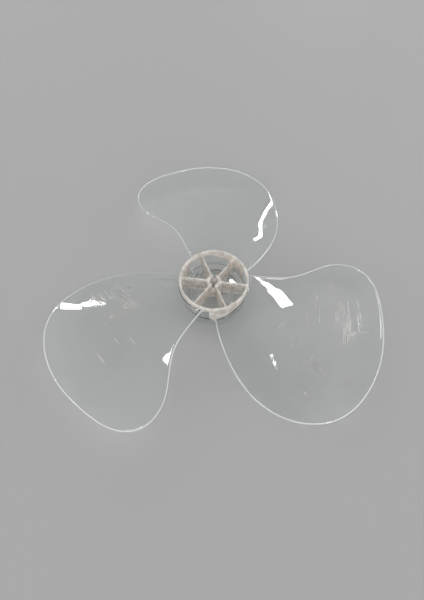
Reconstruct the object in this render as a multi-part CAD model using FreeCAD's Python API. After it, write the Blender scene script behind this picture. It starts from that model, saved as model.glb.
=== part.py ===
import FreeCAD, Part
import math
import os

# Three-blade axial fan impeller, moulded in clear plastic, 340 mm across.
# Millimetres. +Z runs along the motor shaft towards the motor, so the open, ribbed rear
# of the hub is uppermost and the front of the hub is what the impeller lies on.
# The origin is the centre of the shaft bore at the rear face of the boss.

# Hub
HUB_RADIUS = 34.0
WALL = 2.2
RIM_HEIGHT = 4.2
WEB_HEIGHT = -17.0
WEB_THICKNESS = 2.2
FRONT_HEIGHT = -30.0
RIM_ROUND = 0.6
FRONT_ROUND = 1.0
BORE_WALL = HUB_RADIUS - WALL

# Shaft boss, with the slot that the motor's drive pin drops into
BOSS_RADIUS = 7.3
BOSS_FOOT_RADIUS = 7.8
BORE_RADIUS = 4.02
SLOT_WIDTH = 2.8
SLOT_DEPTH = 7.0
SLOT_ANGLE = 84.0

# Six radial ribs
RIB_COUNT = 6
RIB_ANGLE = 52.5
RIB_TOP = 1.6
RIB_FOOT = 2.2

# Collar round the spinner cap, on the front of the web
COLLAR_RADIUS = 25.2
COLLAR_BORE = 22.4
COLLAR_DEPTH = 6.0

# Blades. Each station crosses the blade at one radius, from the leading edge (high,
# towards the motor) to the trailing edge (low), and bulges towards the motor by the camber:
# radius, leading angle, leading height, trailing angle, trailing height, camber
BLADE_COUNT = 3
BLADE_PITCH = 360.0 / BLADE_COUNT
BLADE_THICKNESS = 1.8
STATIONS = [
    (26.0, 133.5, -0.3, 31.0, -16.0, 4.3),
    (34.0, 131.5, 0.3, 33.5, -17.0, 4.6),
    (60.0, 124.5, 0.8, 38.0, -21.7, 5.6),
    (90.0, 126.0, 0.0, 44.0, -26.6, 6.0),
    (120.0, 130.5, -2.6, 51.0, -28.1, 6.5),
    (146.0, 127.5, -3.6, 59.5, -25.2, 6.0),
    (176.0, 116.0, -1.5, 68.0, -18.0, 3.0),
]

# Plan outline of a blade, radius and angle, from the leading root round the tip to the
# trailing root. The leading edge is hollow near the hub and the trailing edge is full.
OUTLINE = [
    (28.0, 134.5),
    (34.0, 131.5),
    (55.0, 125.0),
    (77.0, 124.0),
    (100.0, 128.0),
    (120.0, 130.5),
    (135.0, 129.7),
    (148.0, 126.7),
    (157.0, 121.0),
    (162.5, 109.0),
    (167.0, 97.5),
    (169.8, 85.0),
    (168.5, 75.5),
    (164.0, 69.5),
    (154.0, 63.2),
    (132.0, 54.5),
    (105.0, 47.2),
    (75.0, 41.0),
    (50.0, 35.7),
    (34.0, 33.0),
    (28.0, 32.5),
]

# The rear mould half leaves a matt skin inside the hub and on the wall above the blade
# roots. Between two blades that skin ends in an upright step, down to the web.
STEP_ANGLE = 23.0
STEP_ROUND = 3.0

AXIS = FreeCAD.Vector(0, 0, 1)
CENTRE = FreeCAD.Vector(0, 0, 0)
TALL = 80.0
OVERLAP = 1.0
SAME = 0.01


def polar(radius, angle, height=0.0):
    """Point at a radius, an angle in degrees and a height."""
    turn = math.radians(angle)
    return FreeCAD.Vector(radius * math.cos(turn), radius * math.sin(turn), height)


def disc(radius, low, high):
    """Upright cylinder on the shaft axis."""
    return Part.makeCylinder(radius, high - low, FreeCAD.Vector(0, 0, low), AXIS)


def ring(outer, inner, low, high):
    """Upright tube on the shaft axis."""
    return disc(outer, low, high).cut(disc(inner, low - OVERLAP, high + OVERLAP))


def turned(shape, angle):
    """Copy of a shape, turned about the shaft axis by an angle in degrees."""
    copy = shape.copy()
    copy.rotate(CENTRE, AXIS, angle)
    return copy


def wedge(first, last, radius, low, high):
    """Pie slice on the shaft axis between two angles."""
    slice_at_zero = Part.makeCylinder(radius, high - low, polar(0, 0, low), AXIS, last - first)
    return turned(slice_at_zero, first)


def edges_at(shape, radius, height):
    """Whole circles of one radius at one height."""
    found = []
    for edge in shape.Edges:
        curve = edge.Curve
        if not isinstance(curve, Part.Circle):
            continue
        if abs(curve.Radius - radius) < SAME and abs(curve.Center.z - height) < SAME:
            found.append(edge)
    return found


def blade_face():
    """Rear face of a blade, carried past its outline on every side.

    Shares of the chord run from the leading edge, 0, to the trailing edge, 1.
    """
    shares = [-0.2, 0.0, 0.25, 0.5, 0.75, 1.0, 1.2]
    rows = []
    for radius, lead, lead_height, trail, trail_height, camber in STATIONS:
        row = []
        for share in shares:
            angle = lead + (trail - lead) * share
            height = lead_height + (trail_height - lead_height) * share
            height += camber * 4 * share * (1 - share)
            row.append(polar(radius, angle, height))
        rows.append(row)
    surface = Part.BSplineSurface()
    surface.interpolate(rows)
    return surface.toShape()


def blade_plan():
    """Upright prism of the blade's plan outline, from inside the hub wall outwards."""
    curve = Part.BSplineCurve()
    curve.interpolate([polar(radius, angle, -TALL / 2) for radius, angle in OUTLINE])
    closing = Part.LineSegment(curve.EndPoint, curve.StartPoint)
    wire = Part.Wire([curve.toShape(), closing.toShape()])
    return Part.Face(wire).extrude(AXIS * TALL)


def blade():
    """One blade, from the hub wall out."""
    slab = blade_face().extrude(AXIS * -BLADE_THICKNESS)
    whole = slab.common(blade_plan())
    return whole.cut(disc(HUB_RADIUS, -TALL, TALL)).Solids[0]


def hub_wall():
    """Whole wall of the hub, from the rear rim to the front edge."""
    wall = ring(HUB_RADIUS, BORE_WALL, FRONT_HEIGHT, RIM_HEIGHT)
    wall = wall.makeFillet(RIM_ROUND, edges_at(wall, HUB_RADIUS, RIM_HEIGHT))
    wall = wall.makeFillet(RIM_ROUND, edges_at(wall, BORE_WALL, RIM_HEIGHT))
    return wall.makeFillet(FRONT_ROUND, edges_at(wall, HUB_RADIUS, FRONT_HEIGHT))


def matt_zone():
    """The space above the blade roots and above the web, in which the hub wall is matt."""
    reach = HUB_RADIUS + OVERLAP
    trail = STATIONS[1][3]
    lead = STATIONS[1][1]
    lead_height = STATIONS[1][2]
    next_step = STEP_ANGLE + BLADE_PITCH
    above_root = blade_face().extrude(AXIS * TALL)
    corner_turn = math.degrees(STEP_ROUND / HUB_RADIUS)
    corner_end = STEP_ANGLE + corner_turn
    corner_top = WEB_HEIGHT + STEP_ROUND
    corner = wedge(STEP_ANGLE, corner_end, reach, WEB_HEIGHT, corner_top)
    outward = polar(1.0, corner_end)
    rounding = Part.makeCylinder(STEP_ROUND, reach, polar(0, 0, corner_top), outward)
    corner = corner.cut(rounding)
    zones = []
    for number in range(BLADE_COUNT):
        low = wedge(STEP_ANGLE, trail, reach, WEB_HEIGHT, TALL).cut(corner)
        ramp = above_root.common(wedge(trail, lead, reach, -TALL, TALL))
        high = wedge(lead, next_step, reach, lead_height, TALL)
        for zone in (low, ramp, high):
            zones.append(turned(zone, number * BLADE_PITCH))
    return zones[0].multiFuse(zones[1:]).removeSplitter()


def hub_web():
    """Floor of the hub."""
    return ring(BORE_WALL, BORE_RADIUS, WEB_HEIGHT - WEB_THICKNESS, WEB_HEIGHT)


def boss_cone():
    """Outer shape of the shaft boss, standing on the web."""
    foot = FreeCAD.Vector(0, 0, WEB_HEIGHT)
    return Part.makeCone(BOSS_FOOT_RADIUS, BOSS_RADIUS, -WEB_HEIGHT, foot, AXIS)


def shaft_boss():
    """Boss on the web with the shaft bore, slotted across its rear end."""
    length = 4 * BOSS_RADIUS
    corner = FreeCAD.Vector(-length / 2, -SLOT_WIDTH / 2, -SLOT_DEPTH)
    slot = Part.makeBox(length, SLOT_WIDTH, SLOT_DEPTH + OVERLAP, corner)
    bore = disc(BORE_RADIUS, -TALL, TALL)
    return boss_cone().cut(bore).cut(turned(slot, SLOT_ANGLE))


def rib():
    """One radial rib along +X, thicker at its foot, between the boss and the hub wall."""
    corners = [
        (RIB_FOOT / 2, WEB_HEIGHT),
        (RIB_TOP / 2, 0.0),
        (-RIB_TOP / 2, 0.0),
        (-RIB_FOOT / 2, WEB_HEIGHT),
    ]
    points = [FreeCAD.Vector(BORE_RADIUS, across, height) for across, height in corners]
    section = Part.Face(Part.makePolygon(points + points[:1]))
    bar = section.extrude(FreeCAD.Vector(HUB_RADIUS, 0, 0))
    bar = bar.common(disc(BORE_WALL, -TALL, TALL))
    return bar.cut(boss_cone())


def spinner_collar():
    """Ring on the front of the web that the spinner cap sits in."""
    top = WEB_HEIGHT - WEB_THICKNESS
    return ring(COLLAR_RADIUS, COLLAR_BORE, top - COLLAR_DEPTH, top)


def save(shape, name):
    """Write one node's solid."""
    if len(shape.Solids) == 1:
        shape = shape.Solids[0]
    print(name, len(shape.Solids), shape.isValid(), round(shape.Volume), shape.BoundBox)
    shape.exportStep("parts/" + name + ".step")


def main():
    os.makedirs("parts", exist_ok=True)
    first_blade = blade()
    for number in range(BLADE_COUNT):
        save(turned(first_blade, number * BLADE_PITCH), "blade_%d" % (number + 1))
    wall = hub_wall()
    matt = matt_zone()
    save(wall.common(matt), "hub_rear_wall")
    save(wall.cut(matt), "hub_front_wall")
    save(hub_web(), "hub_web")
    save(shaft_boss(), "shaft_boss")
    first_rib = turned(rib(), RIB_ANGLE)
    for number in range(RIB_COUNT):
        save(turned(first_rib, number * 360.0 / RIB_COUNT), "rib_%d" % (number + 1))
    save(spinner_collar(), "spinner_collar")


main()
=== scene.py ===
import bpy
import bmesh
import math
import numpy as np
from mathutils import Matrix, Vector


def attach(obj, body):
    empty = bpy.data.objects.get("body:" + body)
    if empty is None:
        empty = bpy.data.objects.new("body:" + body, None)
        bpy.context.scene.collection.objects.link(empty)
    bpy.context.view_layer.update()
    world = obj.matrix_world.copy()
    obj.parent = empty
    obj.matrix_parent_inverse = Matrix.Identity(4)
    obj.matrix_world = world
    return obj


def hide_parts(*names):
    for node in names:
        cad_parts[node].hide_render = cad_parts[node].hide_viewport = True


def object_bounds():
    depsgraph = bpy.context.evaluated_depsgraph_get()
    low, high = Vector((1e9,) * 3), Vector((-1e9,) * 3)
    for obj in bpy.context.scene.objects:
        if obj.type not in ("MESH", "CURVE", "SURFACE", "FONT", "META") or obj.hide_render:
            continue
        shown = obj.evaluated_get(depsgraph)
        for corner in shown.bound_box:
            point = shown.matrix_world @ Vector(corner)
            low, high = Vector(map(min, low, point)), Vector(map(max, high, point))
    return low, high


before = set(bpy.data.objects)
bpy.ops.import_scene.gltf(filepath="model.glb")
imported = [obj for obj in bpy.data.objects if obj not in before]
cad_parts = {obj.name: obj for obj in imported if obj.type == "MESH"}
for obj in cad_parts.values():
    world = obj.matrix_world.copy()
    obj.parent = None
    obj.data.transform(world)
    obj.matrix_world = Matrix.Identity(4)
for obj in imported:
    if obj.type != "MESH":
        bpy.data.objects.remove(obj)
cad_box = [list(corner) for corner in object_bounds()]

# ---- Blades ----
# Three broad, swept blades of clear styrene plastic, moulded in one shot with the hub. Each is a
# thin, cambered sheet that twists from steep at the hub to flat at the tip. Its rim is rounded all
# the way round, and a small fillet joins both faces to the hub wall.

MM = 0.001
BLADES_APART = 120.0
BLADE_TURNS = [BLADES_APART * k for k in range(3)]
HALF_THICKNESS = 0.9
RIM_REACH = 0.9
RIM_FACETS = 8
HUB_RADIUS = 34.0
ROOT_RADIUS = 33.7
ROOT_FILLET = 1.2
LEADING_CORNER = 151.0
TRAILING_CORNER = 166.5
CHORD_STEPS = 58
SPAN_STEPS = 62
CREASE = 35.0
NEAR_ROOT = [0.0, 0.3, 0.4, 0.52, 0.68, 0.88, 1.12, 1.4, 1.8, 2.4, 3.2, 4.2]
SIDE_LENGTH = 132.0
PLAN_POINTS = 6000
WELD_WITHIN = 0.002
EMPTY_WITHIN = 0.001

# Radius, leading angle, leading height, trailing angle, trailing height, camber, in mm and degrees
STATIONS = [
    (26.0, 133.5, -0.3, 31.0, -16.0, 4.3),
    (34.0, 131.5, 0.3, 33.5, -17.0, 4.6),
    (60.0, 124.5, 0.8, 38.0, -21.7, 5.6),
    (90.0, 126.0, 0.0, 44.0, -26.6, 6.0),
    (120.0, 130.5, -2.6, 51.0, -28.1, 6.5),
    (146.0, 127.5, -3.6, 59.5, -25.2, 6.0),
    (176.0, 116.0, -1.5, 68.0, -18.0, 3.0),
]

# Plan outline of a blade, radius and angle, from the leading root round the tip
BLADE_PLAN = [
    (28.0, 134.5), (34.0, 131.5), (55.0, 125.0), (77.0, 124.0), (100.0, 128.0), (120.0, 130.5),
    (135.0, 129.7), (148.0, 126.7), (157.0, 121.0), (162.5, 109.0), (167.0, 97.5), (169.8, 85.0),
    (168.5, 75.5), (164.0, 69.5), (154.0, 63.2), (132.0, 54.5), (105.0, 47.2), (75.0, 41.0),
    (50.0, 35.7), (34.0, 33.0), (28.0, 32.5),
]


def curve_through(places, values):
    """Smooth curve that takes each value at its place, with no bend at either end."""
    places, values = np.asarray(places, float), np.asarray(values, float)
    gaps = np.diff(places)
    last = len(places) - 1
    system, pull = np.eye(last + 1), np.zeros_like(values)
    for i in range(1, last):
        system[i, i - 1:i + 2] = gaps[i - 1], 2 * (gaps[i - 1] + gaps[i]), gaps[i]
        rise_after = (values[i + 1] - values[i]) / gaps[i]
        rise_before = (values[i] - values[i - 1]) / gaps[i - 1]
        pull[i] = 6 * (rise_after - rise_before)
    bend = np.linalg.solve(system, pull)

    def at(where):
        where = np.asarray(where, float)
        i = np.clip(np.searchsorted(places, where) - 1, 0, last - 1)
        gap = gaps[i][..., None]
        a = (places[i + 1] - where)[..., None] / gap
        b = 1 - a
        bent = ((a**3 - a) * bend[i] + (b**3 - b) * bend[i + 1]) * gap**2 / 6
        return a * values[i] + b * values[i + 1] + bent

    return at


blade_stations = curve_through([s[0] for s in STATIONS], [s[1:] for s in STATIONS])


def rear_face(x, y):
    """Height of the first blade's rear face over a place in plan, in mm."""
    lead, lead_height, trail, trail_height, camber = np.moveaxis(
        blade_stations(np.hypot(x, y)), -1, 0
    )
    share = (lead - np.degrees(np.arctan2(y, x))) / (lead - trail)
    return lead_height + (trail_height - lead_height) * share + camber * 4 * share * (1 - share)


def plan_edges():
    """The blade's edge in plan as three runs of points with their outward directions."""
    corners = [
        (radius * math.cos(math.radians(turn)), radius * math.sin(math.radians(turn)))
        for radius, turn in BLADE_PLAN
    ]
    lengths = [0.0]
    for (x0, y0), (x1, y1) in zip(corners, corners[1:]):
        lengths.append(lengths[-1] + math.hypot(x1 - x0, y1 - y0))
    dense = curve_through(lengths, corners)(np.linspace(0, lengths[-1], PLAN_POINTS))
    radius = np.hypot(dense[:, 0], dense[:, 1])
    tip = int(radius.argmax())
    lead_root = int(np.argmax(radius >= ROOT_RADIUS))
    trail_root = len(radius) - 1 - int(np.argmax(radius[::-1] >= ROOT_RADIUS))
    lead_corner = lead_root + int(np.argmax(radius[lead_root:] >= LEADING_CORNER))
    trail_corner = tip + int(np.argmax(radius[tip:] <= TRAILING_CORNER))
    along = np.gradient(dense, axis=0)
    along /= np.linalg.norm(along, axis=1)[:, None]
    outward = np.stack([-along[:, 1], along[:, 0]], 1)
    dense = dense + root_flare(radius)[:, None] * outward

    def run(first, last, shares):
        step = 1 if last > first else -1
        part = dense[first:last + step:step]
        facing = outward[first:last + step:step]
        far = np.concatenate([[0], np.cumsum(np.linalg.norm(np.diff(part, axis=0), axis=1))])
        at = shares * far[-1]
        points = np.stack([np.interp(at, far, part[:, k]) for k in (0, 1)], 1)
        normals = np.stack([np.interp(at, far, facing[:, k]) for k in (0, 1)], 1)
        return points, normals / np.linalg.norm(normals, axis=1)[:, None]

    span_shares = np.array(NEAR_ROOT) / SIDE_LENGTH
    rest = np.linspace(span_shares[-1], 1, SPAN_STEPS - len(NEAR_ROOT) + 2)[1:]
    span_shares = np.concatenate([span_shares, rest])
    chord_shares = np.linspace(0, 1, CHORD_STEPS + 1)
    lead = run(lead_root, lead_corner, span_shares)
    tip_run = run(lead_corner, trail_corner, chord_shares)
    trail = run(trail_root, trail_corner, span_shares)
    return span_shares, chord_shares, lead, tip_run, trail


def root_flare(radius):
    """How far the fillet at the hub wall lifts each face of the blade, in mm."""
    into = np.clip(ROOT_FILLET - (np.asarray(radius) - HUB_RADIUS), 0, ROOT_FILLET)
    return ROOT_FILLET - np.sqrt(ROOT_FILLET**2 - into**2)


def blade_mesh():
    """Points in mm and faces of the first blade, and the number of its first rim face."""
    span, chord, lead, tip, trail = plan_edges()
    low_lead = lead[0] - RIM_REACH * lead[1]
    low_tip = tip[0] - RIM_REACH * tip[1]
    low_trail = trail[0] - RIM_REACH * trail[1]
    turn_lead = math.atan2(low_lead[0][1], low_lead[0][0])
    turn_trail = math.atan2(low_trail[0][1], low_trail[0][0])
    turns = turn_lead + (turn_trail - turn_lead) * chord
    root = ROOT_RADIUS * np.stack([np.cos(turns), np.sin(turns)], 1)
    low_lead[0], low_trail[0] = root[0], root[-1]
    low_tip[0], low_tip[-1] = low_lead[-1], low_trail[-1]
    v, u = span[:, None, None], chord[None, :, None]
    sheet = (1 - u) * low_lead[:, None] + u * low_trail[:, None]
    sheet = sheet + (1 - v) * root[None] + v * low_tip[None]
    sheet = sheet - (1 - u) * (1 - v) * root[0] - u * (1 - v) * root[-1]
    sheet = sheet - (1 - u) * v * low_tip[0] - u * v * low_tip[-1]
    rows, columns = sheet.shape[:2]
    radius = np.hypot(sheet[..., 0], sheet[..., 1])
    middle = rear_face(sheet[..., 0], sheet[..., 1]) - HALF_THICKNESS
    half = HALF_THICKNESS + root_flare(radius)
    top = np.dstack([sheet, middle + half]).reshape(-1, 3)
    bottom = np.dstack([sheet, middle - half]).reshape(-1, 3)
    points = [*map(tuple, top), *map(tuple, bottom)]
    under = len(top)
    faces = []
    for j in range(rows - 1):
        for i in range(columns - 1):
            a, b = j * columns + i, j * columns + i + 1
            c, d = a + columns, b + columns
            faces.append((a, b, d, c))
            faces.append((under + a, under + c, under + d, under + b))
    border = [j * columns for j in range(rows)]
    border += [(rows - 1) * columns + i for i in range(1, columns)]
    border += [j * columns + columns - 1 for j in range(rows - 2, -1, -1)]
    edge = np.concatenate([lead[0], tip[0][1:-1], trail[0][::-1]])
    flat = sheet.reshape(-1, 2)
    strings = []
    for place, (index, rim) in enumerate(zip(border, edge)):
        string = [index]
        start = flat[index]
        reach = rim - start
        for k in range(1, RIM_FACETS):
            tilt = math.pi / 2 - math.pi * k / RIM_FACETS
            spot = start + reach * math.cos(tilt)
            if place in (0, len(border) - 1):
                spot = spot * ROOT_RADIUS / np.hypot(*spot)
            thick = HALF_THICKNESS + root_flare(np.hypot(*start))
            height = rear_face(*spot) - HALF_THICKNESS + thick * math.sin(tilt)
            string.append(len(points))
            points.append((spot[0], spot[1], float(height)))
        string.append(under + index)
        strings.append(string)
    for i in range(columns - 1):
        faces.append((i, under + i, under + i + 1, i + 1))
    faces.append(tuple(strings[0]))
    faces.append(tuple(strings[-1]))
    first_rim = len(faces)
    for one, two in zip(strings, strings[1:]):
        for k in range(RIM_FACETS):
            faces.append((one[k], two[k], two[k + 1], one[k + 1]))
    return points, faces, first_rim


def moulding(name, points, faces, node, slot, finishes, turn=0.0, second_from=None):
    """One piece of the impeller, from points in mm, put in place of its CAD node.

    Faces from second_from on have the second of its finishes.
    """
    mesh = bpy.data.meshes.new(name)
    mesh.from_pydata([tuple(c * MM for c in p) for p in points], [], faces)
    for finish in finishes:
        mesh.materials.append(finish)
    if second_from is not None:
        for face in mesh.polygons[second_from:]:
            face.material_index = 1
    work = bmesh.new()
    work.from_mesh(mesh)
    bmesh.ops.remove_doubles(work, verts=work.verts, dist=WELD_WITHIN * MM)
    bmesh.ops.dissolve_degenerate(work, edges=work.edges, dist=EMPTY_WITHIN * MM)
    bmesh.ops.recalc_face_normals(work, faces=work.faces)
    bmesh.ops.rotate(
        work, verts=work.verts, matrix=Matrix.Rotation(math.radians(turn), 3, "Z")
    )
    for face in work.faces:
        face.smooth = True
    work.to_mesh(mesh)
    work.free()
    mesh.set_sharp_from_angle(angle=math.radians(CREASE))
    piece = bpy.data.objects.new(name, mesh)
    bpy.context.scene.collection.objects.link(piece)
    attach(piece, "root")
    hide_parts(node)
    return piece


def place_node(tree, kind, inputs=None, **settings):
    """A shader node with its settings, and its inputs set or joined up by name."""
    made = tree.nodes.new(kind)
    for key, value in settings.items():
        setattr(made, key, value)
    for key, value in (inputs or {}).items():
        if isinstance(value, bpy.types.NodeSocket):
            tree.links.new(value, made.inputs[key])
        else:
            made.inputs[key].default_value = value
    return made


def maths(tree, operation, *values, clamp=False):
    """The result of a maths node."""
    inputs = dict(enumerate(values))
    made = place_node(tree, "ShaderNodeMath", inputs, operation=operation, use_clamp=clamp)
    return made.outputs[0]


def between(tree, value, low, high, out_low=0.0, out_high=1.0):
    """A value carried smoothly from one range to another."""
    inputs = {0: value, 1: low, 2: high, 3: out_low, 4: out_high}
    made = place_node(tree, "ShaderNodeMapRange", inputs, interpolation_type="SMOOTHSTEP")
    return made.outputs[0]


def noise(tree, where, scale, **shape):
    """Soft noise over a surface, as a value."""
    inputs = {"Vector": where, "Scale": scale, **shape}
    return place_node(tree, "ShaderNodeTexNoise", inputs).outputs[0]


def blended(tree, share, one, other):
    """One colour turned into another where a mask says."""
    inputs = {0: share, 6: one, 7: other}
    return place_node(tree, "ShaderNodeMix", inputs, data_type="RGBA").outputs[2]


def effect_group(name, inputs, outputs):
    """An empty shader group with named sockets, and its two end nodes."""
    group = bpy.data.node_groups.new(name, "ShaderNodeTree")
    for label, kind, value in inputs:
        socket = group.interface.new_socket(label, in_out="INPUT", socket_type=kind)
        if value is not None:
            socket.default_value = value
    for label, kind in outputs:
        group.interface.new_socket(label, in_out="OUTPUT", socket_type=kind)
    return group, group.nodes.new("NodeGroupInput"), group.nodes.new("NodeGroupOutput")


SCRATCH_FADE = 0.1
BREAK_SCALE = 42.0
BREAK_RANGE = (0.4, 0.58)
PATCH_FADES_FROM = 0.35


def scratch_group():
    """Fine arcs from wiping: long thin strokes at an even distance from a far centre."""
    group, given, out = effect_group(
        "Wiping Scratches",
        [
            ("Position", "NodeSocketVector", None),
            ("Wiped From", "NodeSocketVector", (0, 0, 0)),
            ("Lines Per Metre", "NodeSocketFloat", 900.0),
            ("Turns Apart", "NodeSocketFloat", 3.0),
            ("Faintness", "NodeSocketFloat", 0.64),
            ("Patch Centre", "NodeSocketVector", (0, 0, 0)),
            ("Patch Reach", "NodeSocketFloat", 0.05),
            ("Seed", "NodeSocketFloat", 0.0),
        ],
        [("Scratch", "NodeSocketFloat")],
    )
    offset = place_node(
        group, "ShaderNodeVectorMath",
        {0: given.outputs["Position"], 1: given.outputs["Wiped From"]}, operation="SUBTRACT",
    ).outputs[0]
    axes = place_node(group, "ShaderNodeSeparateXYZ", {0: offset})
    far = maths(
        group, "SQRT",
        maths(
            group, "ADD",
            maths(group, "MULTIPLY", axes.outputs[0], axes.outputs[0]),
            maths(group, "MULTIPLY", axes.outputs[1], axes.outputs[1]),
        ),
    )
    turn = maths(group, "ARCTAN2", axes.outputs[1], axes.outputs[0])
    across = maths(group, "MULTIPLY", far, given.outputs["Lines Per Metre"])
    along = maths(group, "MULTIPLY", turn, given.outputs["Turns Apart"])
    ribbon = place_node(
        group, "ShaderNodeCombineXYZ", {0: across, 1: along, 2: given.outputs["Seed"]}
    ).outputs[0]
    lines = noise(group, ribbon, 1.0, Detail=1.0, Roughness=0.5)
    full = maths(group, "ADD", given.outputs["Faintness"], SCRATCH_FADE)
    thin = between(group, lines, given.outputs["Faintness"], full)
    broken = noise(group, given.outputs["Position"], BREAK_SCALE, Detail=1.0)
    broken = between(group, broken, *BREAK_RANGE)
    patch = place_node(
        group, "ShaderNodeVectorMath",
        {0: given.outputs["Position"], 1: given.outputs["Patch Centre"]}, operation="DISTANCE",
    ).outputs["Value"]
    patch = maths(group, "DIVIDE", patch, given.outputs["Patch Reach"])
    patch = between(group, patch, PATCH_FADES_FROM, 1.0, 1.0, 0.0)
    scratch = maths(group, "MULTIPLY", maths(group, "MULTIPLY", thin, broken), patch, clamp=True)
    group.links.new(scratch, out.inputs["Scratch"])
    return group


SMEAR_RANGE = (0.48, 0.78)
SPECK_EDGE = (0.05, 0.16)


def handling_group():
    """Faint cloudy smears from handling, and small specks of dust."""
    group, given, out = effect_group(
        "Handling Marks",
        [
            ("Position", "NodeSocketVector", None),
            ("Smear Scale", "NodeSocketFloat", 28.0),
            ("Speck Scale", "NodeSocketFloat", 420.0),
            ("Speck Share", "NodeSocketFloat", 0.12),
        ],
        [("Smear", "NodeSocketFloat"), ("Speck", "NodeSocketFloat")],
    )
    broad = noise(
        group, given.outputs["Position"], given.outputs["Smear Scale"],
        Detail=5.0, Roughness=0.65, Distortion=0.8,
    )
    group.links.new(between(group, broad, *SMEAR_RANGE), out.inputs["Smear"])
    cells = place_node(
        group, "ShaderNodeTexVoronoi",
        {"Vector": given.outputs["Position"], "Scale": given.outputs["Speck Scale"]},
    )
    picked = place_node(group, "ShaderNodeSeparateColor", {0: cells.outputs["Color"]}).outputs[0]
    chosen = maths(group, "LESS_THAN", picked, given.outputs["Speck Share"])
    dot = between(group, cells.outputs["Distance"], *SPECK_EDGE, 1.0, 0.0)
    group.links.new(maths(group, "MULTIPLY", dot, chosen), out.inputs["Speck"])
    return group


def flow_group():
    """Slow waves that the melt leaves in a moulded face as it runs out from the hub."""
    group, given, out = effect_group(
        "Melt Flow",
        [
            ("Position", "NodeSocketVector", None),
            ("Waves Per Metre", "NodeSocketFloat", 22.0),
            ("Run Length", "NodeSocketFloat", 5.0),
        ],
        [("Height", "NodeSocketFloat")],
    )
    axes = place_node(group, "ShaderNodeSeparateXYZ", {0: given.outputs["Position"]})
    far = place_node(
        group, "ShaderNodeVectorMath", {0: given.outputs["Position"]}, operation="LENGTH"
    ).outputs["Value"]
    turn = maths(group, "ARCTAN2", axes.outputs[1], axes.outputs[0])
    fan = place_node(
        group, "ShaderNodeCombineXYZ",
        {
            0: maths(group, "MULTIPLY", far, given.outputs["Waves Per Metre"]),
            1: maths(group, "MULTIPLY", turn, given.outputs["Run Length"]),
            2: axes.outputs[2],
        },
    ).outputs[0]
    waves = noise(group, fan, 1.0, Detail=2.0, Roughness=0.4)
    group.links.new(waves, out.inputs["Height"])
    return group


wiping_scratches = scratch_group()
handling_marks = handling_group()
melt_flow = flow_group()
CLEAR_IOR = 1.57
POLISHED = 0.012
SCRATCH_ROUGH = 0.32
SCRATCH_HEIGHT = -0.05
BLADE_TINT = (0.965, 0.975, 0.972, 1)
SMEARED_TINT = (0.93, 0.935, 0.925, 1)
SPECK_TINT = (0.62, 0.6, 0.57, 1)
# Warm bright tint of scratch lines: painted glint of the warm light that scratches scatter
SCRATCH_GLINT_TINT = (1.0, 0.955, 0.88, 1)
LAMP_TINT = (0.86, 0.88, 0.88, 1)


def placed_group(tree, group, inputs):
    """A shared effect placed in a material with its own values."""
    return place_node(tree, "ShaderNodeGroup", inputs, node_tree=group)


def bare_material(name):
    """A material with nothing in it yet, and its node tree."""
    material = bpy.data.materials.new(name)
    material.use_nodes = True
    material.node_tree.nodes.clear()
    return material, material.node_tree


def let_lamps_through(tree, plastic, tint):
    """Makes a plastic the surface, with lamps shining through it as through tinted film."""
    film = place_node(tree, "ShaderNodeBsdfTransparent", {"Color": tint})
    for_lamps = place_node(tree, "ShaderNodeLightPath").outputs["Is Shadow Ray"]
    mix = place_node(
        tree, "ShaderNodeMixShader", {0: for_lamps, 1: plastic.outputs[0], 2: film.outputs[0]}
    )
    place_node(tree, "ShaderNodeOutputMaterial", {"Surface": mix.outputs[0]})


def clear_plastic(name, tint, scratches, smear_rough=0.03, wave_depth=0.2):
    """Clear polished plastic that lamps shine through, with its own set of scratches."""
    material, tree = bare_material(name)
    position = place_node(tree, "ShaderNodeTexCoord").outputs["Object"]
    marks = placed_group(tree, handling_marks, {"Position": position})
    waves = placed_group(tree, melt_flow, {"Position": position})
    scratch, *others = [
        placed_group(tree, wiping_scratches, {"Position": position, **values}).outputs[0]
        for values in scratches
    ]
    for other in others:
        scratch = maths(tree, "MAXIMUM", scratch, other)
    colour = blended(tree, marks.outputs["Smear"], tint, SMEARED_TINT)
    colour = blended(tree, marks.outputs["Speck"], colour, SPECK_TINT)
    # Scratch lines take a painted glint tint; their roughness and dents below are real
    colour = blended(tree, scratch, colour, SCRATCH_GLINT_TINT)
    rough = maths(tree, "MULTIPLY_ADD", marks.outputs["Smear"], smear_rough, POLISHED)
    rough = maths(tree, "MULTIPLY_ADD", scratch, SCRATCH_ROUGH, rough, clamp=True)
    height = maths(tree, "MULTIPLY", waves.outputs["Height"], wave_depth)
    height = maths(tree, "MULTIPLY_ADD", scratch, SCRATCH_HEIGHT, height)
    normal = place_node(
        tree, "ShaderNodeBump", {"Height": height, "Strength": 0.5, "Distance": 0.0004}
    ).outputs[0]
    plastic = place_node(
        tree, "ShaderNodeBsdfPrincipled",
        {"Base Color": colour, "Roughness": rough, "Normal": normal, "IOR": CLEAR_IOR,
         "Transmission Weight": 1.0, "Metallic": 0.0},
    )
    let_lamps_through(tree, plastic, LAMP_TINT)
    return material


BLADE_MIDDLE_HEIGHT = -0.012


def turned_place(x, y, turn):
    """A place on the first blade, in mm, carried to another blade, in metres."""
    spun = Matrix.Rotation(math.radians(turn), 3, "Z") @ Vector((x, y, 0))
    return (spun.x * MM, spun.y * MM, BLADE_MIDDLE_HEIGHT)


def arc_scratches(turn, patch, reach, wiped_from, lines=900.0, faint=0.64, seed=0.0, apart=4):
    """Values for one patch of scratches on a blade."""
    return {
        "Patch Centre": turned_place(*patch, turn),
        "Patch Reach": reach,
        "Wiped From": turned_place(*wiped_from, turn),
        "Lines Per Metre": lines,
        "Faintness": faint,
        "Seed": seed,
        "Turns Apart": apart,
    }


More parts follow.
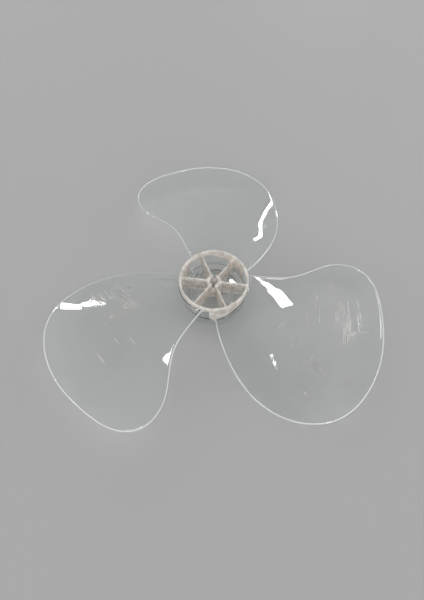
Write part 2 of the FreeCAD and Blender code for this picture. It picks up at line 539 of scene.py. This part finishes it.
BLADE_SCRATCHES = [
    [
        arc_scratches(0, (30, 110), 0.07, (-160, -60), faint=0.69, seed=3.1),
        arc_scratches(0, (-10, 120), 0.07, (120, -80), faint=0.7, seed=7.7),
    ],
    [
        arc_scratches(120, (41, 88), 0.042, (125, -147), 620, 0.515, seed=1.3, apart=6),
        arc_scratches(120, (24, 124), 0.05, (170, 215), 800, 0.66, seed=5.2),
        arc_scratches(120, (0, 110), 0.09, (40, -120), 900, 0.69, seed=6.4),
    ],
    [
        arc_scratches(240, (-30, 118), 0.05, (26, 12), 900, 0.575, seed=2.6, apart=2.0),
        arc_scratches(240, (42, 132), 0.045, (233, 78), 800, 0.61, seed=9.4),
        arc_scratches(240, (-25, 138), 0.04, (128, 264), 900, 0.675, seed=4.4, apart=5),
        arc_scratches(240, (13, 97), 0.045, (75, 390), 800, 0.64, seed=8.1, apart=6),
    ],
]
# Near-white rim colours: painted glow that stands in for light piped out along the clear edge
RIM_GLOW_PAINT = (0.97, 0.97, 0.965, 1)
RIM_GLOW_PAINT_BRIGHT = (1.0, 1.0, 1.0, 1)
RIM_ROUGH = 0.16
RIM_SMEAR_ROUGH = 0.2


def rim_glow_plastic():
    """Rounded rim of a blade: the same plastic, milky white as a painted glow of light piped out
    along the edge.
    """
    material, tree = bare_material("blade rim with painted glow")
    position = place_node(tree, "ShaderNodeTexCoord").outputs["Object"]
    marks = placed_group(
        tree, handling_marks, {"Position": position, "Smear Scale": 90.0, "Speck Share": 0.2}
    )
    # The rim's white is painted glow, varied by the handling smears
    colour = blended(tree, marks.outputs["Smear"], RIM_GLOW_PAINT, RIM_GLOW_PAINT_BRIGHT)
    rough = maths(tree, "MULTIPLY_ADD", marks.outputs["Smear"], RIM_SMEAR_ROUGH, RIM_ROUGH)
    normal = place_node(
        tree, "ShaderNodeBump",
        {"Height": marks.outputs["Smear"], "Strength": 0.3, "Distance": 0.0003},
    ).outputs[0]
    plastic = place_node(
        tree, "ShaderNodeBsdfPrincipled",
        {"Base Color": colour, "Roughness": rough, "Normal": normal, "IOR": CLEAR_IOR,
         "Transmission Weight": 0.5, "Metallic": 0.0},
    )
    let_lamps_through(tree, plastic, LAMP_TINT)
    return material


painted_glow_rim = rim_glow_plastic()
blade_points, blade_faces, first_rim_face = blade_mesh()
for number, turn in enumerate(BLADE_TURNS):
    clear_blade = clear_plastic(
        "clear blade plastic %d" % (number + 1), BLADE_TINT, BLADE_SCRATCHES[number]
    )
    moulding(
        "moulded_blade_%d" % (number + 1), blade_points, blade_faces,
        "blade_%d" % (number + 1), "clear_blade", [clear_blade, painted_glow_rim], turn, first_rim_face,
    )

# ---- Hub wall, matt zone ----
# The rear half of the hub wall. The rear mould half is etched here, so the same clear plastic
# comes out milky. It ends above the blade roots in a sloping line, and between two blades it
# drops in an upright step to the level of the web.

BORE_WALL = 31.8
REAR_RIM = 4.2
RIM_ROUND = 0.6
WEB_REAR = -17.0
STEP_TURN = 23.0
STEP_ROUND = 3.0
LEAD_ROOT_TURN = 131.5
TRAIL_ROOT_TURN = 33.5
LEAD_ROOT_HEIGHT = 0.3
SEAM = 0.03
STEP_RUN = 5.06
STEP_SECTIONS = 10
SECTIONS_APART = 0.97
EVEN_UP_TO = 119.5
LAST_SECTIONS = (119.6, 119.96)
ROUND_STEPS = 4


def zone_edge(turn, radius):
    """Height of the lower edge of the matt zone at a turn and radius."""
    local = (turn - STEP_TURN) % BLADES_APART + STEP_TURN
    run = math.radians(local - STEP_TURN) * HUB_RADIUS
    if run < STEP_ROUND:
        return WEB_REAR + STEP_ROUND - math.sqrt(STEP_ROUND**2 - (STEP_ROUND - run) ** 2)
    if local < TRAIL_ROOT_TURN:
        return WEB_REAR
    if local < LEAD_ROOT_TURN:
        spot = math.radians(local)
        return float(rear_face(radius * math.cos(spot), radius * math.sin(spot)))
    return LEAD_ROOT_HEIGHT


def wall_turns():
    """Turns of the wall's sections, close together at each step."""
    turns = []
    for blade_turn in BLADE_TURNS:
        first = STEP_TURN + blade_turn
        turns += [first + STEP_RUN * (k / STEP_SECTIONS) ** 2 for k in range(STEP_SECTIONS)]
        turns += [first + turn for turn in np.arange(STEP_RUN, EVEN_UP_TO, SECTIONS_APART)]
        turns += [first + turn for turn in LAST_SECTIONS]
    return turns


def hoop(sections):
    """Points and faces of a closed ring of sections with the same number of points."""
    points = [point for section in sections for point in section]
    size, count = len(sections[0]), len(sections)
    faces = []
    for s in range(count):
        ahead = (s + 1) % count
        for k in range(size):
            after = (k + 1) % size
            faces.append(
                (s * size + k, ahead * size + k, ahead * size + after, s * size + after)
            )
    return points, faces


def section_at(turn, profile):
    """A profile of radius and height, stood up at a turn."""
    spot = math.radians(turn)
    return [(r * math.cos(spot), r * math.sin(spot), z) for r, z in profile]


def rounded(corner, towards, size, steps=ROUND_STEPS):
    """A profile corner rounded by a quarter circle, given the way that its first side comes in."""
    (r, z), (dr, dz) = corner, towards
    inner = (r + dr[0] * size + dz[0] * size, z + dr[1] * size + dz[1] * size)
    made = []
    for k in range(steps + 1):
        a = math.pi / 2 * k / steps
        made.append((
            inner[0] - dz[0] * size * math.cos(a) - dr[0] * size * math.sin(a),
            inner[1] - dz[1] * size * math.cos(a) - dr[1] * size * math.sin(a),
        ))
    return made


OUT, IN, UP, DOWN = (1, 0), (-1, 0), (0, 1), (0, -1)


def rear_wall_profile(turn):
    """Section of the matt wall, from its outer foot up over the rim and down inside."""
    profile = [(HUB_RADIUS, zone_edge(turn, HUB_RADIUS) + SEAM)]
    profile += rounded((HUB_RADIUS, REAR_RIM), (DOWN, IN), RIM_ROUND)
    profile += rounded((BORE_WALL, REAR_RIM), (OUT, DOWN), RIM_ROUND)
    profile.append((BORE_WALL, zone_edge(turn, BORE_WALL) + SEAM))
    return profile


CLOUD_RANGE = (0.35, 0.68)


def grain_group():
    """Fine pits of an etched mould face, with slow clouds of more and less milkiness."""
    group, given, out = effect_group(
        "Etched Grain",
        [
            ("Position", "NodeSocketVector", None),
            ("Pits Per Metre", "NodeSocketFloat", 2600.0),
            ("Cloud Scale", "NodeSocketFloat", 190.0),
        ],
        [("Pits", "NodeSocketFloat"), ("Clouds", "NodeSocketFloat")],
    )
    pits = noise(
        group, given.outputs["Position"], given.outputs["Pits Per Metre"],
        Detail=2.0, Roughness=0.6,
    )
    clouds = noise(
        group, given.outputs["Position"], given.outputs["Cloud Scale"],
        Detail=4.0, Roughness=0.6, Distortion=0.6,
    )
    group.links.new(pits, out.inputs["Pits"])
    group.links.new(between(group, clouds, *CLOUD_RANGE), out.inputs["Clouds"])
    return group


etched_grain = grain_group()
MILKY = (0.53, 0.485, 0.435, 1)
MILKY_THIN = (0.86, 0.82, 0.77, 1)
# Colour of sharp edges: a painted edge highlight
EDGE_HIGHLIGHT_PAINT = (0.82, 0.785, 0.74, 1)
MATT_LAMP_TINT = (0.7, 0.69, 0.68, 1)
SHARP_EDGE_RANGE = (0.54, 0.68)
MATT_ROUGH = 0.56
CLOUD_GLOSS = 0.14
RUBBED_GLOSS = 0.22
SMEAR_GLOSS = 0.08


def matt_plastic(name, see_through):
    """Clear plastic with an etched, milky skin, lighter along sharp edges as a painted highlight
    and glossier there where rubbed.
    """
    material, tree = bare_material(name)
    position = place_node(tree, "ShaderNodeTexCoord").outputs["Object"]
    grain = placed_group(tree, etched_grain, {"Position": position})
    marks = placed_group(tree, handling_marks, {"Position": position, "Smear Scale": 55.0})
    geometry = place_node(tree, "ShaderNodeNewGeometry")
    edge = between(tree, geometry.outputs["Pointiness"], *SHARP_EDGE_RANGE)
    colour = blended(tree, grain.outputs["Clouds"], MILKY, MILKY_THIN)
    # Sharp edges get a lighter colour, which is a painted edge highlight
    colour = blended(tree, edge, colour, EDGE_HIGHLIGHT_PAINT)
    rough = maths(tree, "MULTIPLY_ADD", grain.outputs["Clouds"], -CLOUD_GLOSS, MATT_ROUGH)
    rough = maths(tree, "MULTIPLY_ADD", edge, -RUBBED_GLOSS, rough)
    rough = maths(tree, "MULTIPLY_ADD", marks.outputs["Smear"], -SMEAR_GLOSS, rough, clamp=True)
    normal = place_node(
        tree, "ShaderNodeBump",
        {"Height": grain.outputs["Pits"], "Strength": 0.25, "Distance": 0.0003},
    ).outputs[0]
    plastic = place_node(
        tree, "ShaderNodeBsdfPrincipled",
        {"Base Color": colour, "Roughness": rough, "Normal": normal, "IOR": CLEAR_IOR,
         "Transmission Weight": see_through, "Metallic": 0.0},
    )
    let_lamps_through(tree, plastic, MATT_LAMP_TINT)
    return material


matt_wall = matt_plastic("matt hub wall", see_through=0.25)
moulding(
    "matt_hub_wall", *hoop([section_at(turn, rear_wall_profile(turn)) for turn in wall_turns()]),
    "hub_rear_wall", "matt_skin", [matt_wall],
)

# ---- Hub wall, clear zone ----
# The rest of the hub wall, under the blade roots and down to the front edge that the impeller
# lies on. The front mould half is polished, so it is as clear as the blades.

FRONT_EDGE = -30.0
FRONT_ROUND = 1.0
INNER_ROUND = 0.4


def front_wall_profile(turn):
    """Section of the clear wall, from its outer top down round the front edge."""
    profile = [(HUB_RADIUS, zone_edge(turn, HUB_RADIUS) - SEAM)]
    profile += rounded((HUB_RADIUS, FRONT_EDGE), (UP, IN), FRONT_ROUND, 5)
    profile += rounded((BORE_WALL, FRONT_EDGE), (OUT, UP), INNER_ROUND, 3)
    profile.append((BORE_WALL, zone_edge(turn, BORE_WALL) - SEAM))
    return profile


HUB_TINT = (0.955, 0.96, 0.955, 1)
HUB_SCRATCHES = [
    {
        "Wiped From": (0, 0, 0), "Lines Per Metre": 1500.0, "Turns Apart": 2.5,
        "Faintness": 0.66, "Patch Centre": (0, 0, -0.02), "Patch Reach": 0.06, "Seed": 6.0,
    }
]
clear_hub = clear_plastic(
    "clear hub plastic", HUB_TINT, HUB_SCRATCHES, smear_rough=0.06, wave_depth=0.3
)
moulding(
    "clear_hub_wall", *hoop([section_at(turn, front_wall_profile(turn)) for turn in wall_turns()]),
    "hub_front_wall", "clear_hub", [clear_hub],
)

# ---- Web ----
# The flat floor that closes the hub halfway down, clear and polished, moulded into the wall with
# a small fillet. Its rear face carries three small raised mould marks, each a ring with a dot.

WEB_FRONT = -19.2
WEB_FILLET = 0.8
WEB_RADII = [10.0, 16.0, 22.0, 28.0]
WEB_LAP = 0.15
SHAFT_BORE = 4.02
BORE_GAP = 0.02
MARK_PLACES = [(19.4, 201.0), (19.1, 268.0), (18.2, 322.5)]
MARK_RING = [(1.55, 0.0), (1.55, 0.3), (1.4, 0.42), (1.1, 0.42), (0.95, 0.3), (0.95, 0.0)]
MARK_DOT = [0.5, 0.46, 0.4, 0.26, 0.04]
MARK_DOT_HEIGHT = 0.45
DOT_ROUNDNESS = 0.9
MARK_SUNK = 0.05
RING_SIDES = 28
DOT_SIDES = 20


def web_profile():
    """Section of the web, from the bore out along its rear face and back along the front."""
    bore, lap = SHAFT_BORE + BORE_GAP, BORE_WALL + WEB_LAP
    profile = [(r, WEB_REAR) for r in (bore, *WEB_RADII)]
    corner = BORE_WALL - WEB_FILLET
    for k in range(ROUND_STEPS + 1):
        a = math.pi / 2 * k / ROUND_STEPS
        profile.append(
            (corner + WEB_FILLET * math.sin(a), WEB_REAR + WEB_FILLET * (1 - math.cos(a)))
        )
    profile += [(lap, WEB_REAR + WEB_FILLET), (lap, WEB_FRONT)]
    profile += [(r, WEB_FRONT) for r in (*WEB_RADII[::-1], bore)]
    return profile


def lathed(profile, count=180):
    """A profile turned about the shaft axis."""
    return hoop([section_at(360.0 * k / count, profile) for k in range(count)])


def mark_ring():
    """The raised ring of a mould mark, about the shaft axis."""
    foot = WEB_REAR - MARK_SUNK
    return lathed([(r, foot + (z + MARK_SUNK if z else 0)) for r, z in MARK_RING], RING_SIDES)


def mark_dot():
    """The domed dot in the middle of a mould mark, about the shaft axis."""
    points, faces = [], []
    for k, reach in enumerate(MARK_DOT):
        dome = MARK_DOT_HEIGHT * math.sqrt(1 - DOT_ROUNDNESS * (reach / MARK_DOT[0]) ** 2)
        height = WEB_REAR + (dome if k else -MARK_SUNK)
        points += [(x, y, height) for x, y, _ in lathed([(reach, 0)], DOT_SIDES)[0]]
    last = len(MARK_DOT) - 1
    for k in range(last):
        for s in range(DOT_SIDES):
            a, b = k * DOT_SIDES + s, k * DOT_SIDES + (s + 1) % DOT_SIDES
            faces.append((a, b, b + DOT_SIDES, a + DOT_SIDES))
    for k in (0, last):
        faces.append(tuple(k * DOT_SIDES + s for s in range(DOT_SIDES)))
    return points, faces


web_points, web_faces = lathed(web_profile())
for shape in (mark_ring, mark_dot):
    first_dot_face = len(web_faces)
    for radius, turn in MARK_PLACES:
        mark_x, mark_y, _ = section_at(turn, [(radius, 0)])[0]
        points, faces = shape()
        web_faces += [tuple(i + len(web_points) for i in face) for face in faces]
        web_points += [(x + mark_x, y + mark_y, z) for x, y, z in points]
moulding(
    "web_disc", web_points, web_faces, "hub_web", "clear_hub", [clear_hub, matt_wall],
    second_from=first_dot_face,
)

# ---- Shaft boss ----
# The thick tube in the middle that the motor shaft goes into, tapered a little to leave the
# mould. A slot across its rear end takes the shaft's drive pin. It has the same milky skin.

BOSS_TOP_RADIUS = 7.3
BOSS_FOOT_RADIUS = 7.8
BOSS_ROUND = 0.45
SLOT_HALF = 1.4
SLOT_FLOOR = -7.0
SLOT_TURN = 84.0
SLOT_ROUND = 0.35
SLOT_STEPS = [(-0.49, 0.0, True), (-0.01, 0.0, True), (0.0, SLOT_ROUND, False)]
FLOOR_ROUND = 0.02
BORE_ROUND_SHARE = 0.8
BOSS_HALF_SECTIONS = 40

# How far out from the boss's side and up from the web its foot spreads
BOSS_SPREAD = [(0.7, -0.05), (0.7, 0.01), (0.2, 0.2), (0.0, 0.7)]


def boss_steps():
    """How far past the slot wall, how far below the end, and whether at the slot's floor."""
    steps = list(SLOT_STEPS)
    for k in range(1, ROUND_STEPS + 1):
        a = math.pi / 2 * k / ROUND_STEPS
        steps.append((SLOT_ROUND * (1 - math.cos(a)), SLOT_ROUND * (1 - math.sin(a)), False))
    return steps


def beside_slot(shift):
    """Turns from the slot's middle to a line past its wall, at the bore and at the outside."""
    return [
        math.degrees(math.asin((SLOT_HALF + shift) / r)) for r in (SHAFT_BORE, BOSS_TOP_RADIUS)
    ]


def boss_sections():
    """Sections of the boss, from one slot wall round to the other, twice."""
    sections = []
    for slot in (SLOT_TURN, SLOT_TURN + 180.0):
        for shift, drop, floor in boss_steps():
            inner, outer = beside_slot(shift)
            sections.append(boss_section(slot + inner, slot + outer, drop, floor))
        start_in, start_out = beside_slot(SLOT_ROUND)
        for k in range(1, BOSS_HALF_SECTIONS):
            share = k / BOSS_HALF_SECTIONS
            inner = start_in + (180 - 2 * start_in) * share
            outer = start_out + (180 - 2 * start_out) * share
            sections.append(boss_section(slot + inner, slot + outer, 0.0, False))
        for shift, drop, floor in boss_steps()[::-1]:
            inner, outer = beside_slot(shift)
            sections.append(boss_section(slot + (180 - inner), slot + (180 - outer), drop, floor))
    return sections


def boss_section(inner, outer, drop, floor):
    """Section of the boss between a turn at the bore and a turn at its outside."""
    def at(r, z):
        share = (r - SHAFT_BORE) / (BOSS_TOP_RADIUS - SHAFT_BORE)
        spot = math.radians(inner + (outer - inner) * min(share, 1.0))
        return (r * math.cos(spot), r * math.sin(spot), z)

    top = SLOT_FLOOR if floor else -drop
    size = FLOOR_ROUND if floor else BOSS_ROUND
    wide = BOSS_TOP_RADIUS + (BOSS_FOOT_RADIUS - BOSS_TOP_RADIUS) * top / WEB_REAR
    profile = [(BOSS_FOOT_RADIUS + out, WEB_REAR + up) for out, up in BOSS_SPREAD]
    profile += rounded((wide, top), (DOWN, IN), size)
    profile += rounded((SHAFT_BORE, top), (OUT, DOWN), size * BORE_ROUND_SHARE)
    profile.append((SHAFT_BORE, WEB_REAR + BOSS_SPREAD[0][1]))
    return [at(r, z) for r, z in profile]


matt_boss = matt_plastic("matt shaft boss", see_through=0.2)
moulding("slotted_boss", *hoop(boss_sections()), "shaft_boss", "matt_skin", [matt_boss])

# ---- Ribs ----
# Six thin radial walls that tie the boss to the hub wall and stiffen the web, 1.6 mm at the top
# and 2.2 mm at the foot so that they leave the mould. Their skin is milky like the boss, and
# each runs into the boss, the wall and the web with a small fillet.

RIB_TOP = 0.8
RIB_FOOT = 1.1
RIB_ROUND = 0.4
RIB_TURNS = [52.5 + 60.0 * k for k in range(6)]
RIB_FILLET = 0.9
RIB_SUNK = 0.05
RIB_SIDE_STEPS = 4
RIB_START = 7.0
BOSS_SIDE = 7.35
RIB_MIDDLE = np.linspace(9.5, 30.2, 14)
RIB_LAP = 0.12
FILLET_STEPS = [0.0, 0.12, 0.3, 0.55, 0.9]
FILLET_START = 7.45

# How far out from a rib's side and up from its foot it spreads
RIB_SPREAD = [(0.7, 0.0), (0.7, 0.06), (0.25, 0.25), (0.0, 0.75)]


def rib_section(along, flare):
    """Section across a rib at a radius, widened by a fillet."""
    foot = WEB_REAR - RIB_SUNK
    side = [(RIB_FOOT + out + flare, foot + up) for out, up in RIB_SPREAD]
    for k in range(1, RIB_SIDE_STEPS):
        share = k / RIB_SIDE_STEPS
        side.append((RIB_FOOT + (RIB_TOP - RIB_FOOT) * share + flare, foot - WEB_REAR * share))
    for k in range(ROUND_STEPS + 1):
        a = math.pi / 2 * k / ROUND_STEPS
        inward, down = RIB_ROUND * (1 - math.cos(a)), RIB_ROUND * (1 - math.sin(a))
        side.append((RIB_TOP + flare - inward, -down))
    return [(along, y, z) for y, z in side] + [(along, -y, z) for y, z in side[::-1]]


def rib_mesh():
    """A rib along the first axis, from inside the boss to inside the hub wall."""
    stops = [RIB_START]
    stops += [BOSS_SIDE + step for step in FILLET_STEPS]
    stops += list(RIB_MIDDLE)
    stops += [BORE_WALL - step for step in FILLET_STEPS[::-1]]
    stops.append(BORE_WALL + RIB_LAP)
    points = []
    for along in stops:
        near = min(max(along - FILLET_START, 0), max(BORE_WALL - along, 0))
        into = max(RIB_FILLET - near, 0)
        flare = RIB_FILLET - math.sqrt(RIB_FILLET**2 - into**2)
        points += rib_section(along, flare)
    size = len(points) // len(stops)
    faces = []
    for s in range(len(stops) - 1):
        for k in range(size):
            after = (k + 1) % size
            a, b = s * size + k, s * size + after
            faces.append((a, b, b + size, a + size))
    faces.append(tuple(range(size)))
    faces.append(tuple(range(len(points) - size, len(points))))
    return points, faces


matt_rib = matt_plastic("matt ribs", see_through=0.22)
rib_points, rib_faces = rib_mesh()
for number, turn in enumerate(RIB_TURNS):
    moulding(
        "radial_rib_%d" % (number + 1), rib_points, rib_faces,
        "rib_%d" % (number + 1), "matt_skin", [matt_rib], turn,
    )

# ---- Spinner collar ----
# A low clear ring on the front of the web that the spinner cap is centred by. It shows through
# the web as two pale arcs.

COLLAR_OUTER = 25.2
COLLAR_INNER = 22.4
COLLAR_END = -25.2
COLLAR_ROUND = 0.5
COLLAR_SUNK = 0.1

# How far out from the collar's side and up from the web its root spreads
COLLAR_SPREAD = [(0.5, COLLAR_SUNK), (0.5, -0.02), (0.12, -0.15), (0.0, -0.5)]


def collar_profile():
    """Section of the collar, from its outer root down round its end."""
    profile = [(COLLAR_OUTER + out, WEB_FRONT + up) for out, up in COLLAR_SPREAD]
    profile += rounded((COLLAR_OUTER, COLLAR_END), (UP, IN), COLLAR_ROUND)
    profile += rounded((COLLAR_INNER, COLLAR_END), (OUT, UP), COLLAR_ROUND)
    profile.append((COLLAR_INNER, WEB_FRONT + COLLAR_SUNK))
    return profile


moulding("cap_collar", *lathed(collar_profile()), "spinner_collar", "clear_hub", [clear_hub])

# ---- Table top ----
# A plain pale board that the impeller lies on. From below it can be seen through, so that the
# front of the impeller can be looked at.

TABLE_TONE = (0.40, 0.396, 0.388, 1)
TABLE_HALF = 6.0
TABLE_GAP = 0.0002


def pale_board():
    """Matt pale surface that is seen only from above."""
    material, tree = bare_material("pale board")
    paint = place_node(
        tree, "ShaderNodeBsdfPrincipled", {"Base Color": TABLE_TONE, "Roughness": 0.7, "IOR": 1.4}
    )
    nothing = place_node(tree, "ShaderNodeBsdfTransparent")
    side = place_node(tree, "ShaderNodeNewGeometry").outputs["Backfacing"]
    mix = place_node(
        tree, "ShaderNodeMixShader", {0: side, 1: paint.outputs[0], 2: nothing.outputs[0]}
    )
    place_node(tree, "ShaderNodeOutputMaterial", {"Surface": mix.outputs[0]})
    return material


def flat_sheet(name, low, high, height, paint):
    """A level rectangle between two corners, at a height."""
    mesh = bpy.data.meshes.new(name)
    corners = [low, (high[0], low[1]), high, (low[0], high[1])]
    mesh.from_pydata([(x, y, height) for x, y in corners], [], [(0, 1, 2, 3)])
    mesh.materials.append(paint)
    sheet = bpy.data.objects.new(name, mesh)
    bpy.context.scene.collection.objects.link(sheet)
    return sheet


table_height = cad_box[0][2] - TABLE_GAP
board = flat_sheet(
    "table_board", (-TABLE_HALF, -TABLE_HALF), (TABLE_HALF, TABLE_HALF), table_height, pale_board()
)

# ---- Lamps ----
# Soft boxes overhead and on four sides light the room. Low strips on every side but the back
# left run along the rounded rims, and small bright lamps make the short highlights on the blades.

OVERHEAD_PLACE = (-0.7, 0.5, 6.0)
OVERHEAD_SIZE = (6.0, 6.0)
OVERHEAD_RADIANCE = 0.5
SIDE_TURNS = [20.0 + 90.0 * k for k in range(4)]
SIDE_DISTANCE = 5.0
SIDE_HEIGHT = 1.45
SIDE_SIZE = (4.2, 2.4)
SIDE_RADIANCE = 3.0
LOW_TURNS = [15.0 + 30.0 * k for k in range(9)]
LOW_DISTANCE = 1.5
LOW_HEIGHT = 0.32
LOW_SIZE = (0.4, 0.08)
LOW_RADIANCE = 8.0
LAMP_HEIGHT = 1.5

# Name, place of each end over the floor, width and radiance, in metres
STRIP_LAMPS = [
    ("right back strip, near end", (1.19, 1.34), (1.42, 1.74), 0.045, 40.0),
    ("right back strip, bend", (1.42, 1.74), (1.69, 1.95), 0.05, 40.0),
    ("right back strip, far end", (1.69, 1.95), (2.22, 1.94), 0.055, 40.0),
    ("left back strip, near end", (-1.23, 1.88), (-1.62, 2.05), 0.10, 22.0),
    ("left back strip, far end", (-1.66, 2.11), (-1.92, 2.44), 0.09, 22.0),
    ("left window, wide end", (-0.465, 0.185), (-0.39, 0.26), 0.14, 22.0),
    ("left window, middle", (-0.39, 0.26), (-0.335, 0.33), 0.085, 22.0),
    ("left window, narrow end", (-0.335, 0.33), (-0.28, 0.41), 0.035, 22.0),
    ("right window, thread", (0.063, 0.951), (0.163, 0.866), 0.02, 30.0),
    ("right window, narrow end", (0.163, 0.866), (0.26, 0.70), 0.04, 26.0),
    ("right window, middle", (0.26, 0.70), (0.33, 0.52), 0.11, 22.0),
    ("right window, wide end", (0.33, 0.52), (0.48, 0.19), 0.20, 18.0),
    ("right overhead tube", (0.14, 1.04), (0.18, 0.99), 0.018, 30.0),
    ("left overhead tube", (-0.14, 0.94), (-0.09, 0.99), 0.018, 20.0),
    ("near overhead bulb", (-0.050, -0.588), (-0.010, -0.570), 0.003, 45.0),
]


def lamp(name, place, size, radiance, lights_room=False, along=None):
    """A flat lamp that faces the impeller, as bright as its radiance says.

    A lamp that lights the room isn't mirrored in the plastic, and the others are only mirrored
    in it. along is the way that a strip's length runs.
    """
    data = bpy.data.lights.new(name, "AREA")
    data.shape = "RECTANGLE"
    data.size, data.size_y = size
    data.energy = radiance * math.pi * size[0] * size[1]
    made = bpy.data.objects.new(name, data)
    back = Vector(place).normalized()
    sideways = Vector(along or (-back.y, back.x, 0)).normalized()
    back = (back - sideways * back.dot(sideways)).normalized()
    turned = Matrix((sideways, back.cross(sideways), back)).transposed().to_4x4()
    made.matrix_world = Matrix.Translation(place) @ turned
    made.visible_diffuse = lights_room
    made.visible_glossy = not lights_room
    made.visible_transmission = not lights_room
    bpy.context.scene.collection.objects.link(made)
    return made


def strip_lamp(name, one_end, other_end, width, radiance):
    """A straight strip lamp between two places."""
    one, other = Vector(one_end), Vector(other_end)
    along = other - one
    return lamp(name, (one + other) / 2, (along.length, width), radiance, along=along)


lamp("overhead softbox", OVERHEAD_PLACE, OVERHEAD_SIZE, OVERHEAD_RADIANCE, lights_room=True)
for index, turn in enumerate(SIDE_TURNS):
    spot = math.radians(turn)
    place = (SIDE_DISTANCE * math.sin(spot), -SIDE_DISTANCE * math.cos(spot), SIDE_HEIGHT)
    lamp("side softbox %d" % index, place, SIDE_SIZE, SIDE_RADIANCE, lights_room=True)
for index, turn in enumerate(LOW_TURNS):
    spot = math.radians(turn)
    place = (LOW_DISTANCE * math.sin(spot), LOW_DISTANCE * math.cos(spot), LOW_HEIGHT)
    lamp("low strip %d" % index, place, LOW_SIZE, LOW_RADIANCE)
for name, one_end, other_end, width, radiance in STRIP_LAMPS:
    strip_lamp(name, (*one_end, LAMP_HEIGHT), (*other_end, LAMP_HEIGHT), width, radiance)

ROOM_COLOUR = (0.62, 0.64, 0.66, 1)
ROOM_LIGHT = 0.8
CARD_HEIGHT = 0.07

# Small cards, as bright as the room, that keep a lamp from showing twice in one blade
CARDS = [
    ((0.072, 0.111), (0.167, 0.176)), ((-0.182, 0.067), (-0.112, 0.113)),
    ((-0.115, -0.131), (-0.085, -0.104)), ((0.144, -0.080), (0.181, -0.037)),
]
card_paint, paint_tree = bare_material("card as bright as the room")
glow = place_node(
    paint_tree, "ShaderNodeEmission", {"Color": ROOM_COLOUR, "Strength": ROOM_LIGHT}
)
place_node(paint_tree, "ShaderNodeOutputMaterial", {"Surface": glow.outputs[0]})
for number, (low, high) in enumerate(CARDS):
    card = flat_sheet("shade_card_%d" % (number + 1), low, high, CARD_HEIGHT, card_paint)
    card.visible_camera = card.visible_diffuse = card.visible_shadow = False

room = bpy.data.worlds.new("soft room")
room.use_nodes = True
walls = room.node_tree.nodes["Background"]
walls.inputs["Color"].default_value = ROOM_COLOUR
walls.inputs["Strength"].default_value = ROOM_LIGHT
bpy.context.scene.world = room
bpy.context.scene.view_settings.view_transform = "Standard"

# ---- Camera ----
# The camera is held over the near side of the impeller, and looks down at it at 63 degrees. Its
# turns are in radians.

CAMERA_PLACE = (0.0, -0.1599, 0.27126)
CAMERA_TILT = 1.09777
CAMERA_YAW = -0.01196
CAMERA_ROLL = -0.0031
CAMERA_LENS = 19.22

camera_data = bpy.data.cameras.new("camera")
camera_data.lens = CAMERA_LENS
camera_data.sensor_width = 36.0
camera_data.clip_start = 0.01
camera = bpy.data.objects.new("camera", camera_data)
ahead = Vector((
    math.sin(CAMERA_YAW) * math.cos(CAMERA_TILT),
    math.cos(CAMERA_YAW) * math.cos(CAMERA_TILT),
    -math.sin(CAMERA_TILT),
))
right = Vector((math.cos(CAMERA_YAW), -math.sin(CAMERA_YAW), 0))
up = right.cross(ahead)
rolled_right = math.cos(CAMERA_ROLL) * right + math.sin(CAMERA_ROLL) * up
rolled_up = math.cos(CAMERA_ROLL) * up - math.sin(CAMERA_ROLL) * right
facing = Matrix((rolled_right, rolled_up, -ahead)).transposed().to_4x4()
camera.matrix_world = Matrix.Translation(CAMERA_PLACE) @ facing
bpy.context.scene.collection.objects.link(camera)
bpy.context.scene.camera = camera

bpy.context.view_layer.update()
